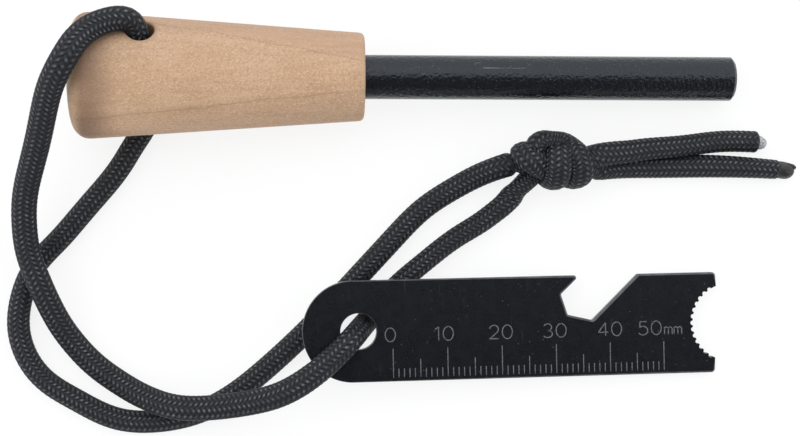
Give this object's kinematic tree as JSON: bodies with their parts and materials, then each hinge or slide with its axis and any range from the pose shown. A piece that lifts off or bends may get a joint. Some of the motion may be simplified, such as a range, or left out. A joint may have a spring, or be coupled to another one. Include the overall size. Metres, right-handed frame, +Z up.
{
  "type": "fire steel",
  "caption": "Black flint rod in a tapered wooden handle, tied by a knotted cord loop to a flat steel striker with a bottle opener notch, toothed end and millimetre scale.",
  "frame": {"origin": "On the surface that the set lies on, under the middle of the box round the handle, the rod and the striker.", "axes": "+X along the rod towards its tip, +Y from the striker towards the handle, +Z up."},
  "size_m": [0.1448, 0.0767, 0.0273],
  "materials": {
    "wood": "sanded, unvarnished, straight grain",
    "rod_coat": "satin black coat, fine grit",
    "glue": "cured clear amber epoxy",
    "striker_coat": "satin black coat on steel",
    "cord": "braided nylon sheath",
    "cord_core": "melted white core strands",
    "cord_melt": "melted black sheath"
  },
  "bodies": {
    "lanyard": {"cord_rear_run": "cord", "cord_rear_bight": "cord", "cord_eye": "cord", "cord_front_bight": "cord", "cord_front_run": "cord", "cord_striker_run": "cord", "knot": "cord", "tail_upper": "cord", "tail_lower": "cord", "tail_core_tip": "cord_core", "tail_melt_tip": "cord_melt"},
    "fire_rod": {"handle": "wood", "ferro_rod": "rod_coat", "rod_glue": "glue"},
    "striker": {"striker": "striker_coat"}
  },
  "joints": [
    {"name": "handle_swing", "type": "hinge", "parent": "lanyard", "child": "fire_rod", "pos_m": [-0.04695, 0.02198, 0.01068], "axis": [-0.0444, -0.7071, -0.7057], "range_deg": [0, 35], "deforming": ["cord_front_bight", "cord_rear_bight"]},
    {"name": "striker_swing", "type": "hinge", "parent": "lanyard", "child": "striker", "pos_m": [-0.00862, -0.02412, 0.00607], "axis": [0.0771, 0.0016, 0.997], "range_deg": [-60, 2]}
  ]
}
